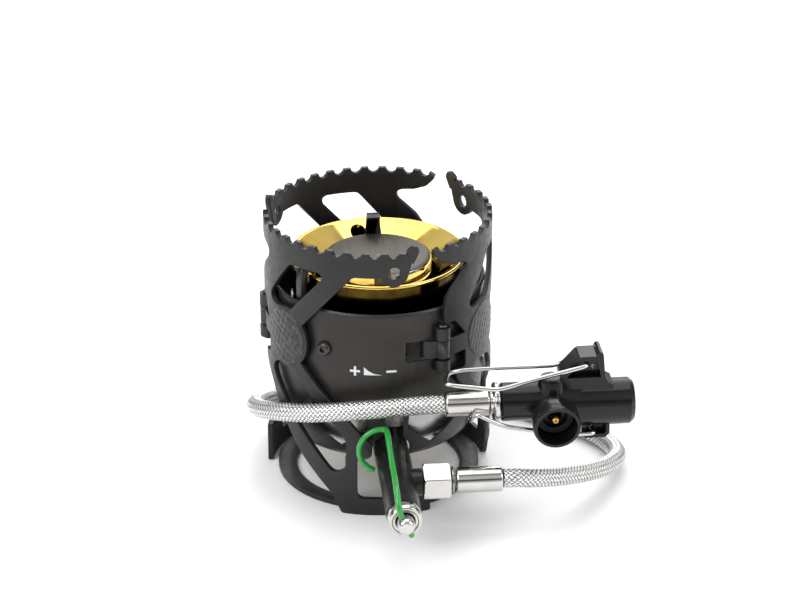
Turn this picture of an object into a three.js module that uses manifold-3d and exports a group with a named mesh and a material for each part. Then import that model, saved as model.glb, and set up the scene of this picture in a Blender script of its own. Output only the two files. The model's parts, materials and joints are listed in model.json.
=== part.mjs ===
// A remote camping burner, folded for packing: a drum-shaped burner on three curved legs that
// wrap round it, a needle valve with a wire handle in front, and a braided fuel hose wound once
// round the burner, with the canister connector parked at the front.
// Millimetres, +Z up. The burner's axis is Z, the feet stand on z = 0 and the valve points to -Y.
import * as THREE from 'three';
import { mergeVertices } from 'three/addons/utils/BufferGeometryUtils.js';
import Module from 'manifold-3d';

const wasm = await Module();
wasm.setup();

// ---------- driving dimensions ----------

const GAP = 0.3; // clearance kept between neighbouring pieces
const FLATNESS = 0.012; // faces closer to flat than this are merged after a cut or a join

const DRUM = { radius: 40, wall: 0.8, floor: 20, top: 81.4, windowTop: 44 };
const BOWL = { radius: 33.2, well: 22.1, rim: 89.9, floor: 66, skirt: 70, wall: 0.8, throat: 9.6 };
const BOWL_HOLES = [101, -146, -26]; // the second takes the vaporiser tube
const SPREADER = { radius: 20.3, top: 89.8, skirt: 79, wall: 0.9 };
const RING = { inner: 31.7, outer: 38.8, height: 2.4, post: 1.8, posts: [-113, 35, 135] };
const LEG = { outer: 43, sheet: 2, top: 107, period: 9.4, toothDepth: 2 };
const HINGE = { radius: 42, angle: 179.5, pin: 1.2, bore: 1.5, eye: 2.7, ear: 2.9 };
const HINGE_Z = {
  earLow: 56.7, windowLow: 61.4, armLow: 62.3, armHigh: 69.2, windowHigh: 69.6, earHigh: 74.3,
};
const SCREW = { angle: -124.5, z: 65.9, head: 2.8, shank: 1.5 };
const VALVE = { x: 1.5, z: 24.4, radius: 6.5, bore: 3.6, back: -9.5, front: -88, inletY: -63 };
const SPINDLE = { radius: 3.2, hole: -94.8, tip: -98, tilt: 25 };
const HANDLE = { wire: 1.1, hole: 1.4, clipY: -49.5, clipX: -2.8, clipZ: 31.1, clipRadius: 8.7 };
const HOSE = { radius: 3.6, ferrule: 4.75, from: 22.9, to: 40, lineFrom: 20.3, lineTo: 36.5 };
const LINE = { y: -49.5, z: 49 }; // axis of the connector, along X
const BRANCH = { x: 59.5, tilt: 8, length: 18.6, cup: 8.9, bore: 7.4 };
const STAND = { wire: 0.8, hole: 1.1, halfWidth: 4.9, web: 1.6 }; // wire stand and its two brackets
const UPPER_PIVOT = [71.7, 65.1];
const LOWER_PIVOT = [75, 37.6];

// The hose's centre line: straight out of the inlet ferrule, down to the ground, round behind
// the burner and up its left side to the connector.
const HOSE_ROUTE = [
  [40.4, -63, 24.4], [45.5, -62.8, 24.2], [52, -60.6, 22.6], [61.5, -53, 18.6], [74, -41.5, 13.6],
  [84, -29, 9.2], [90, -18.5, 6.8], [91.9, -8.6, 5], [89.9, 1.5, 3.9], [84.4, 11, 3.8],
  [74, 22.6, 3.8], [60, 34, 3.8], [44, 43.6, 3.8], [27, 50.6, 3.8], [9, 54.2, 3.8], [-8, 53.6, 4.6],
  [-23.5, 47, 8.2], [-36, 35.6, 13], [-44, 20, 19], [-47, 3.5, 25.6], [-46, -12, 31.6],
  [-40, -26, 37.2], [-29.5, -38, 42], [-16, -45.6, 45.8], [-1.5, -49, 48], [10, -49.5, 48.9],
  [19.9, -49.5, 49],
];

const material = (color, roughness, metalness) =>
  new THREE.MeshStandardMaterial({ color, roughness, metalness });
const DARK_STEEL = material(0x46454a, 0.55, 0.6);
const LEG_PAINT = material(0x3b3b3e, 0.7, 0.3);
const GOLD = material(0xc99a2e, 0.15, 1);
const STEEL = material(0x8b8782, 0.4, 0.9);
const CHROME = material(0xd8d8d6, 0.12, 1);
const BRAID = material(0xc9c9c7, 0.35, 0.9);
const BRASS = material(0xc8923a, 0.3, 1);
const BLACK_PLASTIC = material(0x17171a, 0.35, 0);
const RUBBER = material(0x151515, 0.8, 0);
const GREEN = material(0x1fa548, 0.4, 0.1);
const FELT = material(0xb9ae9a, 1, 0);

const rad = THREE.MathUtils.degToRad;
const stove = new THREE.Group();

// ---------- helpers ----------

// A closed geometry as a solid that can be cut and joined.
function solid(geometry) {
  const bare = geometry.index ? geometry.clone() : geometry;
  bare.deleteAttribute('normal');
  bare.deleteAttribute('uv');
  const merged = mergeVertices(bare, 1e-4);
  const vertProperties = new Float32Array(merged.attributes.position.array);
  const triVerts = new Uint32Array(merged.index.array);
  return new wasm.Manifold(new wasm.Mesh({ numProp: 3, vertProperties, triVerts }));
}

function geometryOf(manifold) {
  const mesh = manifold.simplify(FLATNESS).getMesh();
  const geometry = new THREE.BufferGeometry();
  geometry.setAttribute('position', new THREE.BufferAttribute(mesh.vertProperties, 3));
  geometry.setIndex(new THREE.BufferAttribute(mesh.triVerts, 1));
  return geometry;
}

function join(first, ...others) {
  return geometryOf(others.reduce((sum, g) => sum.add(solid(g)), solid(first)));
}

function cut(first, ...tools) {
  return geometryOf(tools.reduce((sum, g) => sum.subtract(solid(g)), solid(first)));
}

function add(name, geometry, surface, parent = stove) {
  const mesh = new THREE.Mesh(geometry, surface);
  mesh.name = name;
  parent.add(mesh);
  return mesh;
}

// A closed profile of [radius, height] pairs turned about Z.
function turned(profile, segments = 48) {
  const points = profile.map(([r, z]) => new THREE.Vector2(r, z));
  if (profile[0][0] !== 0) points.push(points[0].clone());
  const geometry = new THREE.LatheGeometry(points, segments);
  return outward(geometry.rotateX(Math.PI / 2));
}

// Turns every face round when the closed surface is inside out.
function outward(geometry) {
  const merged = mergeVertices(stripped(geometry), 1e-4);
  const p = merged.attributes.position;
  const index = merged.index;
  const corner = (i) => new THREE.Vector3().fromBufferAttribute(p, index.getX(i));
  let volume = 0;
  for (let i = 0; i < index.count; i += 3) {
    volume += corner(i).dot(corner(i + 1).cross(corner(i + 2)));
  }
  if (volume < 0) {
    for (let i = 0; i < index.count; i += 3) {
      const second = index.getX(i + 1);
      index.setX(i + 1, index.getX(i + 2));
      index.setX(i + 2, second);
    }
  }
  return merged;
}

function stripped(geometry) {
  geometry.deleteAttribute('normal');
  geometry.deleteAttribute('uv');
  return geometry;
}

const AXES = {
  x: new THREE.Vector3(1, 0, 0), y: new THREE.Vector3(0, 1, 0), z: new THREE.Vector3(0, 0, 1),
};

// Moves a shape made about +Z onto the axis through `origin` along `direction`.
function along(geometry, origin, direction) {
  const turn = new THREE.Quaternion().setFromUnitVectors(AXES.z, direction.clone().normalize());
  return geometry.applyQuaternion(turn).translate(...origin);
}

function rod(radius, from, to, segments = 24) {
  const a = new THREE.Vector3(...from);
  const b = new THREE.Vector3(...to);
  const length = a.distanceTo(b);
  const shape = new THREE.CylinderGeometry(radius, radius, length, segments).rotateX(Math.PI / 2);
  return along(stripped(shape.translate(0, 0, length / 2)), from, b.sub(a));
}

function box(low, high) {
  const size = high.map((v, i) => v - low[i]);
  const centre = high.map((v, i) => (v + low[i]) / 2);
  return stripped(new THREE.BoxGeometry(...size).translate(...centre));
}

function plate(outline, thickness, holes = []) {
  const shape = outline instanceof THREE.Shape ? outline : shapeOf(outline);
  shape.holes = holes;
  return stripped(new THREE.ExtrudeGeometry(shape, { depth: thickness, bevelEnabled: false }));
}

function shapeOf(points) {
  return new THREE.Shape(points.map(([x, y]) => new THREE.Vector2(x, y)));
}

// A round wire or hose along a smooth curve through the points.
function tube(points, radius, sides, steps) {
  const route = points.map((p) => new THREE.Vector3(...p));
  const curve = new THREE.CatmullRomCurve3(route, false, 'centripetal');
  curve.arcLengthDivisions = 800;
  const section = new THREE.Shape();
  for (let i = 0; i < sides; i += 1) {
    const angle = (2 * Math.PI * i) / sides;
    const point = [radius * Math.cos(angle), radius * Math.sin(angle)];
    if (i === 0) section.moveTo(...point);
    else section.lineTo(...point);
  }
  section.closePath();
  const options = { steps, extrudePath: curve, bevelEnabled: false };
  return stripped(new THREE.ExtrudeGeometry(section, options));
}

// Points of an arc about a centre, in a plane, from one angle to another.
function arc(centre, radius, fromDeg, toDeg, count) {
  return Array.from({ length: count }, (_, i) => {
    const angle = rad(fromDeg + ((toDeg - fromDeg) * i) / (count - 1));
    return [centre[0] + radius * Math.cos(angle), centre[1] + radius * Math.sin(angle)];
  });
}

const polar = (radius, deg) => [radius * Math.cos(rad(deg)), radius * Math.sin(rad(deg))];

function thirds(make) {
  return [0, 1, 2].map((i) => make(i * 120, i + 1));
}

// A radial tool: a box whose middle lies at an angle round the drum.
function radialBox(deg, r0, r1, halfWidth, z0, z1, shift = 0) {
  return box([r0, shift - halfWidth, z0], [r1, shift + halfWidth, z1]).rotateZ(rad(deg));
}

// ---------- drum housing ----------

// An air window: an opening with a flat top and a V-shaped lower edge, cut radially.
function airWindow(deg) {
  const halfWidth = 11;
  const outline = [
    [-halfWidth, DRUM.windowTop], [-halfWidth, 33.5], [0, 25], [halfWidth, 33.5],
    [halfWidth, DRUM.windowTop],
  ];
  const tool = plate(outline, 20).rotateX(Math.PI / 2).rotateZ(Math.PI / 2);
  return tool.translate(28, 0, 0).rotateZ(rad(deg));
}

function housing() {
  const { radius, wall, floor, top } = DRUM;
  const shell = turned([
    [31, floor], [33.2, floor], [35.6, 22.4], [38, 29.4], [39.5, 38], [radius, 46],
    [radius, top - 0.9], [radius + 0.5, top - 0.5], [radius, top + 0.3],
    [radius - wall, top], [radius - wall, 46], [38.7, 38.2], [37.3, 30], [35, 23.2],
    [32.9, 20.8], [31, 20.8],
  ], 48);
  const ears = [];
  const openings = [];
  thirds((turn) => {
    const deg = HINGE.angle + turn;
    const [x, y] = polar(HINGE.radius, deg);
    const { earLow, windowLow, windowHigh, earHigh } = HINGE_Z;
    [[earLow, windowLow], [windowHigh, earHigh]].forEach(([z0, z1]) => {
      ears.push(rod(HINGE.ear, [x, y, z0], [x, y, z1], 14));
      ears.push(radialBox(deg, radius - wall + 0.1, HINGE.radius, 2, z0, z1));
    });
    openings.push(rod(HINGE.bore, [x, y, earLow - 1], [x, y, earHigh + 1], 12));
    openings.push(radialBox(deg, 30, 40.8, 9.5, windowLow, windowHigh, -4));
    openings.push(airWindow(-62 + turn), airWindow(-118 + turn));
    const [from, to] = [30, 45].map((r) => [...polar(r, SCREW.angle + turn), SCREW.z]);
    openings.push(rod(SCREW.shank + GAP, from, to, 12));
  });
  const notch = rod(VALVE.radius + 0.6, [VALVE.x, -45, VALVE.z], [VALVE.x, -20, VALVE.z], 24);
  const notchFoot = box([VALVE.x - 7.1, -45, 10], [VALVE.x + 7.1, -20, VALVE.z]);
  const slot = box([-1, -45, VALVE.z], [6, -30, 46]);
  return cut(join(shell, ...ears), ...openings, notch, notchFoot, slot);
}

// ---------- burner ----------

function burnerBowl() {
  const { radius, well, rim, floor, skirt, wall, throat } = BOWL;
  const dish = turned([
    [radius, skirt], [radius, rim - 1.6], [radius + 0.3, rim - 0.8], [radius - 0.5, rim],
    [radius - 1.6, rim - 0.5], [23.8, 84.2], [well, 82],
    [well, floor + wall], [throat, floor + wall], [throat, floor], [well + wall, floor],
    [well + wall, 81.6], [24.4, 83.3], [radius - wall, rim - 2], [radius - wall, skirt],
  ], 48);
  const holes = BOWL_HOLES.map((deg) => {
    const [x, y] = polar(27, deg);
    return rod(3.1, [x, y, 78], [x, y, 92], 16);
  });
  return cut(dish, ...holes);
}

function flameSpreader() {
  const { radius, top, skirt, wall } = SPREADER;
  return turned([
    [0, top], [12, top - 0.3], [18.6, top - 0.9], [radius - 0.3, top - 1.6], [radius, top - 2.4],
    [radius, skirt], [radius - wall, skirt], [radius - wall, top - 2.6], [17, top - 1.7], [0, top - 1],
  ], 40);
}

// A strip that stands on the bowl's floor and is folded over the spreader's edge.
function spreaderClip(deg) {
  const face = plate([
    [-3.2, 0], [3.2, 0], [3.2, 21], [2.8, 24], [2.4, 29.4], [-2.4, 29.4], [-2.8, 24], [-3.2, 21],
  ], 0.7);
  const stem = face.rotateX(Math.PI / 2).rotateZ(Math.PI / 2).translate(20.6, 0, 66.8 + GAP);
  const lip = box([16.8, -2.4, 95.6], [21.1, 2.4, 96.3]);
  return join(stem, lip).rotateZ(rad(deg));
}

function buildBurner() {
  add('housing', housing(), DARK_STEEL);
  add('burner_bowl', burnerBowl(), GOLD);
  add('flame_spreader', flameSpreader(), STEEL);
  add('spreader_clip_1', spreaderClip(90), STEEL);
  add('spreader_clip_2', spreaderClip(270), STEEL);

  const cup = turned([
    [28, 22.2], [32, 25], [35, 30.6], [37, 38], [37.9, 47], [37.3, 47],
    [36.4, 38.2], [34.4, 31], [31.5, 25.5], [28, 22.9],
  ], 40);
  const pad = turned([[11, 23.6], [27.4, 23.6], [29, 25], [29, 26.4], [11, 26.4]], 32);
  const path = () => box([VALVE.x - 7.4, -45, 15], [VALVE.x + 7.4, 0, 33.5]);
  add('inner_cup', cut(cup, path()), CHROME);
  add('priming_pad', cut(pad, path()), FELT);

  const bore = rod(1.2, [0, 0, 28], [0, 0, 34], 12);
  const block = turned([[0, 16.5], [7.6, 16.5], [8.6, 17.5], [8.6, 32], [7.6, 33], [0, 33]], 32);
  add('jet_block', cut(block, bore), BRASS);
  const nozzle = turned([[0.6, 33.3], [3.4, 33.3], [3.4, 37.6], [2.2, 39.4], [2, 41.5], [0.6, 41.5]], 6);
  add('jet', nozzle, BRASS);
  const throat = BOWL.throat - GAP - 0.1;
  add('mixing_tube', turned([
    [throat - 1, 47], [throat + 1.2, 46], [throat + 2, 46.8], [throat, 48.6], [throat, 76],
    [throat + 3, 77], [throat + 3, 78], [throat - 1, 77],
  ], 36), STEEL);
  add('vaporiser_tube', vaporiser(BOWL_HOLES[1]), STEEL);

  thirds((turn, n) => {
    add(`bowl_bracket_${n}`, bowlBracket(SCREW.angle + turn), STEEL);
    add(`housing_screw_${n}`, screw(SCREW.angle + turn), STEEL);
  });
  add('base_ring', baseRing(), DARK_STEEL);
}

// The heated fuel tube: up outside the bowl, over its rim and down through the dish.
function vaporiser(deg) {
  const profile = [
    [36.3, 48], [36.3, 60], [36.3, 72], [36.3, 84], [36.2, 89.2], [35, 92.3], [32.5, 93.5],
    [29.9, 92.7], [27.9, 90.2], [27, 86], [27, 74],
  ];
  const points = profile.map(([r, z]) => [...polar(r, deg), z]);
  return tube(points, 2.1, 10, 24);
}

// A bent strip: its arm holds the bowl's floor and its upright takes the housing screw.
function bowlBracket(deg) {
  const bend = join(box([12, -4.5, 64.5], [38.5, 4.5, 65.7]), box([37.4, -4.5, 58], [38.6, 4.5, 74]));
  const hole = rod(SCREW.shank + GAP, [35.9, 0, SCREW.z], [45, 0, SCREW.z], 16);
  return cut(bend, hole).rotateZ(rad(deg));
}

function screw(deg) {
  const { head, shank, z } = SCREW;
  const shape = turned([
    [0, -4], [shank, -4], [shank, 0], [head, 0], [head, 0.5], [2.2, 1.4], [1.2, 1.8], [0, 1.8],
  ], 24);
  const socket = plate(arc([0, 0], 1.3, 0, 300, 6), 2).translate(0, 0, 0.8);
  return along(cut(shape, socket), [DRUM.radius + 0.3, 0, z], AXES.x).rotateZ(rad(deg));
}

// The ring under the drum, with three round posts that reach up to the drum's floor.
function baseRing() {
  const { inner, outer, height, post } = RING;
  const ring = turned([
    [inner, 0.4], [inner + 0.4, 0], [outer - 0.4, 0], [outer, 0.4], [outer, height],
    [outer - 1.2, height], [inner + 1, height - 0.8], [inner, height - 1.2],
  ], 48);
  const posts = RING.posts.map((deg) => {
    const [x, y] = polar(34.6, deg);
    return rod(post, [x, y, 1], [x, y, DRUM.floor - GAP], 14);
  });
  return join(ring, ...posts);
}

// ---------- legs ----------

// A leg is a flat plate rolled round the drum. Its outline is given in degrees round the burner
// from the hinge pin, and in height.
const onSheet = ([deg, z]) => [rad(deg) * LEG.outer, z];

function toothedEdge() {
  const edge = [];
  const valley = 2.1 / LEG.outer;
  for (let n = 0; n < 11; n += 1) {
    const centre = 93.5 - n * LEG.period;
    for (let i = 0; i <= 4; i += 1) {
      const t = (Math.PI * i) / 4;
      const deg = centre + THREE.MathUtils.radToDeg(valley * Math.cos(t));
      edge.push([deg, LEG.top - LEG.toothDepth * Math.sin(t)]);
    }
  }
  return edge;
}

function legOutline() {
  const padArc = arc([rad(31.5) * LEG.outer, 66.5], 12, 37, -43, 8);
  const lug = arc([rad(93.5) * LEG.outer, 99.3], 5.4, 190, 345, 9);
  const { armLow, armHigh } = HINGE_Z;
  const hook = [
    [99.6, 107.4], [103.2, 109.3], [105.3, 109.1], [106.3, 107], [102.9, 102],
  ].map(onSheet);
  const top = toothedEdge().map(onSheet);
  const left = [
    [-6.6, 106.8], [-5.4, 104], [-1.5, 100.9], [5.5, 98.9], [12.6, 98.3], [14.8, 97.4],
    [15.2, 95.8], [14.3, 94.3], [4.6, 88.5], [1.2, 85.2], [0.5, 82.7], [0.5, 75.8], [6.8, 75.8],
    [14.6, armHigh], [0, armHigh], [0, armLow], [14.6, armLow], [14.6, 55.2], [8, 55.2],
    [8, 52.4], [9.6, 50.4], [17.6, 44.6], [30.5, 31.9], [42.5, 21.1], [61.5, 7.4], [66.5, 0],
    [112.5, 0], [112.5, 15.4], [91.5, 15.4], [91.5, 7], [77.2, 7], [75.2, 7.7], [74.5, 9],
    [74.5, 22], [75.6, 23.4], [80, 23.8], [82.2, 25], [82.5, 29.4], [77.5, 32.8], [69.5, 39.7],
    [59.5, 46.5],
  ].map(onSheet);
  const right = [[72.6, 97], [74.2, 97.5], [86, 97.5]].map(onSheet);
  return shapeOf([...hook.reverse(), ...top, ...left, ...padArc.reverse(), ...right, ...lug]);
}

function legHoles() {
  const upper = [
    [36.6, 97], [54.6, 97.4], [56.8, 96.6], [56.6, 94.6], [37.4, 79.2], [35, 78.2], [31.5, 78.5],
    [24, 77.6], [19, 78], [17.6, 79.4], [18.2, 81.6],
  ];
  const lower = [
    [26, 55.2], [20.6, 52.4], [19.6, 50.4], [20.6, 48.6], [30.5, 41], [39.5, 33.8], [59.8, 18],
    [62.2, 16.9], [65, 17.2], [68, 18.8], [69, 20.8], [69, 30.6], [62.5, 36.7], [49.5, 45.5],
    [40, 53.2], [34.5, 54.3], [30, 54.1],
  ];
  const eyelet = arc([rad(93.5) * LEG.outer, 99.3], 2.4, 0, 337.5, 16);
  return [upper.map(onSheet), lower.map(onSheet), eyelet].map((outline) => shapeOf(outline));
}

// Splits the triangles of a flat closed mesh where they cross the planes x = k * step.
function splitForBending(geometry, step) {
  const source = mergeVertices(geometry, 1e-4);
  const p = source.attributes.position;
  let faces = [];
  for (let i = 0; i < source.index.count; i += 3) {
    faces.push([0, 1, 2].map((k) => new THREE.Vector3().fromBufferAttribute(p, source.index.getX(i + k))));
  }
  source.computeBoundingBox();
  const { min, max } = source.boundingBox;
  for (let plane = Math.ceil(min.x / step) * step; plane < max.x; plane += step) {
    faces = faces.flatMap((face) => splitFace(face, plane));
  }
  const positions = faces.flatMap((face) => face.flatMap((v) => [v.x, v.y, v.z]));
  const result = new THREE.BufferGeometry();
  result.setAttribute('position', new THREE.Float32BufferAttribute(positions, 3));
  return result;
}

function splitFace(face, plane) {
  const side = face.map((v) => (Math.abs(v.x - plane) < 1e-5 ? 0 : Math.sign(v.x - plane)));
  if (!side.includes(1) || !side.includes(-1)) return [face];
  const left = [];
  const right = [];
  face.forEach((v, i) => {
    const next = face[(i + 1) % 3];
    if (side[i] <= 0) left.push(v);
    if (side[i] >= 0) right.push(v);
    if (side[i] * side[(i + 1) % 3] < 0) {
      const meet = crossing(v, next, plane);
      left.push(meet);
      right.push(meet);
    }
  });
  return [left, right].flatMap((polygon) => fan(polygon));
}

// Both triangles on an edge find the same point, whichever way they run along it.
function crossing(a, b, plane) {
  const [low, high] = a.x < b.x ? [a, b] : [b, a];
  const point = low.clone().lerp(high, (plane - low.x) / (high.x - low.x));
  point.x = plane;
  return point;
}

function fan(polygon) {
  return polygon.slice(2).map((v, i) => [polygon[0], polygon[i + 1], v]);
}

// Rolls a plate that stands on its x axis, with y up and z outward, round the burner's axis.
function rolled(geometry, innerRadius) {
  const p = geometry.attributes.position;
  for (let i = 0; i < p.count; i += 1) {
    const angle = p.getX(i) / LEG.outer;
    const radius = innerRadius + p.getZ(i);
    p.setXYZ(i, radius * Math.cos(angle), radius * Math.sin(angle), p.getY(i));
  }
  return outward(geometry);
}

// The leg's geometry with its hinge pin at angle 0 on the drum.
function legBlank() {
  const sheet = plate(legOutline(), LEG.sheet, legHoles());
  const padCentre = [rad(31.5) * LEG.outer, 66.5];
  const pad = plate(arc(padCentre, 11.4, 0, 345, 24), LEG.sheet + 0.4);
  const flat = join(sheet, pad);
  const sheetSolid = rolled(splitForBending(flat, rad(6) * LEG.outer), LEG.outer - LEG.sheet);
  const { armLow, armHigh } = HINGE_Z;
  const eye = rod(HINGE.eye, [HINGE.radius, 0, armLow], [HINGE.radius, 0, armHigh], 14);
  const tail = plate([
    [-0.9, -2], [0.3, -2.2], [-0.6, -4.8], [-2.6, -6.6], [-5, -6.9], [-5, -5.9], [-3.2, -5.7],
    [-1.7, -4.3],
  ], armHigh - armLow).translate(HINGE.radius, 0, armLow);
  const bore = rod(HINGE.bore, [HINGE.radius, 0, armLow - 1], [HINGE.radius, 0, armHigh + 1], 12);
  return cut(join(sheetSolid, eye, tail), bore);
}

function rivet(deg) {
  const { earLow, earHigh } = HINGE_Z;
  const [low, high] = [earLow - GAP, earHigh + GAP];
  const { pin } = HINGE;
  const shape = turned([
    [0, low - 0.8], [1.4, low - 0.8], [1.7, low - 0.3], [1.7, low], [pin, low], [pin, high],
    [1.7, high], [1.7, high + 0.3], [1.4, high + 0.8], [0, high + 0.8],
  ], 16);
  const [x, y] = polar(HINGE.radius, deg);
  return shape.translate(x, y, 0);
}

function buildLegs() {
  const blank = legBlank();
  thirds((turn, n) => {
    add(`leg_${n}`, blank.clone(), LEG_PAINT).rotation.z = rad(HINGE.angle + turn);
    add(`hinge_pin_${n}`, rivet(HINGE.angle + turn), STEEL);
  });
}

// ---------- valve ----------

const onValve = (geometry, y) => along(geometry, [VALVE.x, y, VALVE.z], AXES.y);

function handlePath() {
  const { x, z } = VALVE;
  const lean = rad(SPINDLE.tilt);
  const [across, upward] = [Math.sin(lean), Math.cos(lean)];
  const up = (distance) => [x - distance * across, SPINDLE.hole, z + distance * upward];
  const { clipX, clipY, clipZ, clipRadius } = HANDLE;
  const clip = arc([clipX, clipZ], clipRadius, 100, 250, 9).map(([cx, cz]) => [cx, clipY, cz]);
  return [
    up(-5.6), up(-2), up(2), up(5), [-1.1, -93.6, 32.2], [-1.3, -90, 34.9], [-1.3, -84, 35.9],
    [-1.3, -70, 37.3], [-1.3, -58, 38.7], [-1.3, -52.4, 39.5], [-1.7, -50.2, 39.8], ...clip,
  ];
}

function buildValve() {
  const { x, z, radius, bore, back, front, inletY } = VALVE;
  const barrel = onValve(turned([
    [bore, 0], [radius, 0], [radius, 78.5], [4.7, 78.5], [4.7, 74.5], [bore, 74.5],
  ], 32).rotateX(Math.PI), back);
  const boss = cut(rod(5, [x, inletY, z], [10.4, inletY, z], 24),
    rod(radius - 1, [x, inletY - 8, z], [x, inletY + 8, z], 24));
  add('valve_tube', join(barrel, boss), DARK_STEEL);
  const gland = turned([
    [bore, 0], [6.4, 0], [6.4, 3.4], [5.8, 4.6], [4.9, 4.8], [4.6, 4.2], [bore, 4.2],
  ], 28).rotateX(Math.PI);
  add('gland_nut', onValve(gland, front - GAP), CHROME);
  const seal = turned([[3.5, 0], [4.4, 0], [4.4, 3], [3.5, 3]], 24);
  add('spindle_seal', onValve(seal, -87.8), RUBBER);

  const { radius: r, hole, tip } = SPINDLE;
  const stem = onValve(turned([
    [0, -tip], [2.1, -tip - 0.1], [2.8, -tip - 0.7], [r, -tip - 1.6], [r, 30], [1.2, 24], [0, 24],
  ], 28).rotateX(Math.PI), 0);
  const lean = rad(SPINDLE.tilt);
  const [dx, dz] = [8 * Math.sin(lean), 8 * Math.cos(lean)];
  const crossHole = rod(HANDLE.hole, [x + dx, hole, z - dz], [x - dx, hole, z + dz], 12);
  add('valve_spindle', cut(stem, crossHole), CHROME);
  add('adjuster_wire', tube(handlePath(), HANDLE.wire, 6, 56), GREEN);
}

// ---------- fuel line ----------

const onInlet = (geometry) => along(geometry, [0, VALVE.inletY, VALVE.z], AXES.x);
const onLine = (geometry, x = 0) => along(geometry, [x, LINE.y, LINE.z], AXES.x);

// The swaged sleeve that grips an end of the hose.
function ferrule(from, to) {
  const r = HOSE.ferrule;
  return turned([[0, from], [r - 0.4, from], [r, from + 0.5], [r, to - 0.5], [r - 0.4, to], [0, to]], 28);
}

function buildInlet() {
  const hex = plate(arc([0, 0], 7.5, 0, 300, 6), 10).translate(0, 0, 10.7);
  const blank = turned([[0, 10.7], [6.9, 10.7], [7.5, 11.4], [7.5, 20], [6.9, 20.7], [0, 20.7]], 36);
  const chamfered = geometryOf(solid(hex).intersect(solid(blank)));
  const bore = turned([[0, 10], [3.5, 10], [3.5, 22], [0, 22]], 20);
  add('inlet_nut', onInlet(cut(chamfered, bore)), CHROME);
  add('inlet_nipple', onInlet(turned([
    [0, 11.5], [3.2, 11.5], [3.2, 21], [5.2, 21.2], [5.2, 22], [4.4, 22.3], [0, 22.3],
  ], 28)), STEEL);
  add('inlet_ferrule', onInlet(ferrule(HOSE.from, HOSE.to)), CHROME);
  add('fuel_hose', tube(HOSE_ROUTE, HOSE.radius, 8, 78), BRAID);
}

// ---------- connector ----------

const branchDirection = new THREE.Vector3(0, -Math.cos(rad(BRANCH.tilt)), -Math.sin(rad(BRANCH.tilt)));
const onBranch = (geometry) => along(geometry, [BRANCH.x, LINE.y, LINE.z], branchDirection);

// A profile in X and Z, extruded across the connector between two half widths.
function sideProfile(outline, halfWidth) {
  return plate(outline, 2 * halfWidth).rotateX(Math.PI / 2).translate(0, LINE.y + halfWidth, 0);
}

// One bracket of the wire stand: a flanged plate with the wire's pivot hole and a spare hole.
function bracket(outline, pocket, pivot, spare) {
  const { halfWidth, web, hole } = STAND;
  const blank = sideProfile(outline, halfWidth);
  const pockets = [-1, 1].map((side) => sideProfile(pocket, (halfWidth - web) / 2 + 0.5)
    .translate(0, side * ((halfWidth + web) / 2 + 0.5), 0));
  const across = (radius, [x, z]) => rod(radius, [x, LINE.y - 9, z], [x, LINE.y + 9, z], 12);
  return cut(blank, ...pockets, across(hole, pivot), across(0.9, spare));
}

function connectorBody() {
  const narrow = onLine(turned([
    [0, 40.6], [6.4, 40.6], [7.2, 41.4], [7.2, 54], [8, 58], [8, 70], [0, 70],
  ], 28));
  const wide = along(turned([[0, 62], [7.4, 62], [8.7, 65.5], [8.7, 88.4], [7.4, 90], [0, 90]], 28),
    [0, LINE.y, LINE.z - 1.4], AXES.x);
  const neck = onBranch(turned([
    [0, 2], [5.6, 2], [6, 6], [8.6, 11], [BRANCH.cup, 17], [8.5, BRANCH.length], [0, BRANCH.length],
  ], 28));
  const upper = bracket([
    [62.3, 52], [62.3, 59.8], [62.8, 61.2], [68.6, 67.6], [69.6, 68.2], [75.4, 68.3],
    [75.8, 69.4], [76.6, 69.9], [77.6, 69.7], [78, 68.8], [78.6, 62], [79, 59.6],
    [80, 57.6], [82, 56.6], [82, 50], [64, 50],
  ], [[64.4, 59.8], [69.6, 66.3], [75.5, 66.6], [76.8, 62], [77.2, 59.8]], UPPER_PIVOT, [74.7, 62.6]);
  const lower = bracket([[70.5, 46], [81, 46], [81, 36.6], [79.4, 35], [72, 35], [70.5, 36.4]],
    [[71.9, 41], [79.7, 41], [79.7, 37.2], [78.9, 36.4], [71.9, 36.4]], LOWER_PIVOT, [77.2, 39.6]);
  const cup = onBranch(turned([
    [0, 4.6], [2.6, 4.6], [2.6, 10], [BRANCH.bore, 10], [BRANCH.bore, 20], [0, 20],
  ], 24));
  const crown = turned([[0, 0], [6.4, 0], [4.8, 9], [4.2, 10.2], [3.2, 10.7], [0, 10.7]], 28)
    .translate(BRANCH.x, LINE.y - 1.4, LINE.z);
  return cut(join(narrow, wide, neck, crown, upper, lower), cup);
}

// The stand's wires hook into the brackets from both sides and pivot there.
function standWire(pivot, front, rear) {
  const [x, z] = pivot;
  const [frontY, rearY] = [LINE.y - 5.4, LINE.y + 5.4];
  return tube([[x, LINE.y - 0.6, z], [x, frontY, z], [x - 0.9, frontY - 0.8, z], ...front, ...rear,
    [x - 0.9, rearY + 0.8, z], [x, rearY, z], [x, LINE.y + 0.6, z]], STAND.wire, 6, 56);
}

function upperStandWire() {
  const y = LINE.y;
  return standWire(UPPER_PIVOT, [
    [66, y - 6.6, 64], [50, y - 7.5, 60.6], [40.6, y - 8.4, 58.6], [37.8, y - 8.4, 58.3],
    [30, y - 8.4, 59.4], [22.6, y - 8.1, 60.5], [20.4, y - 7, 60.6], [20.2, y - 4, 60.2],
  ], [
    [22.4, y + 5.2, 59], [25.4, y + 7.4, 58.7], [29, y + 8.1, 58.7], [42, y + 8.1, 58.9],
    [56, y + 7.5, 59.2], [62, y + 6.9, 59.8], [66.5, y + 6.5, 62],
  ]);
}

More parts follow.
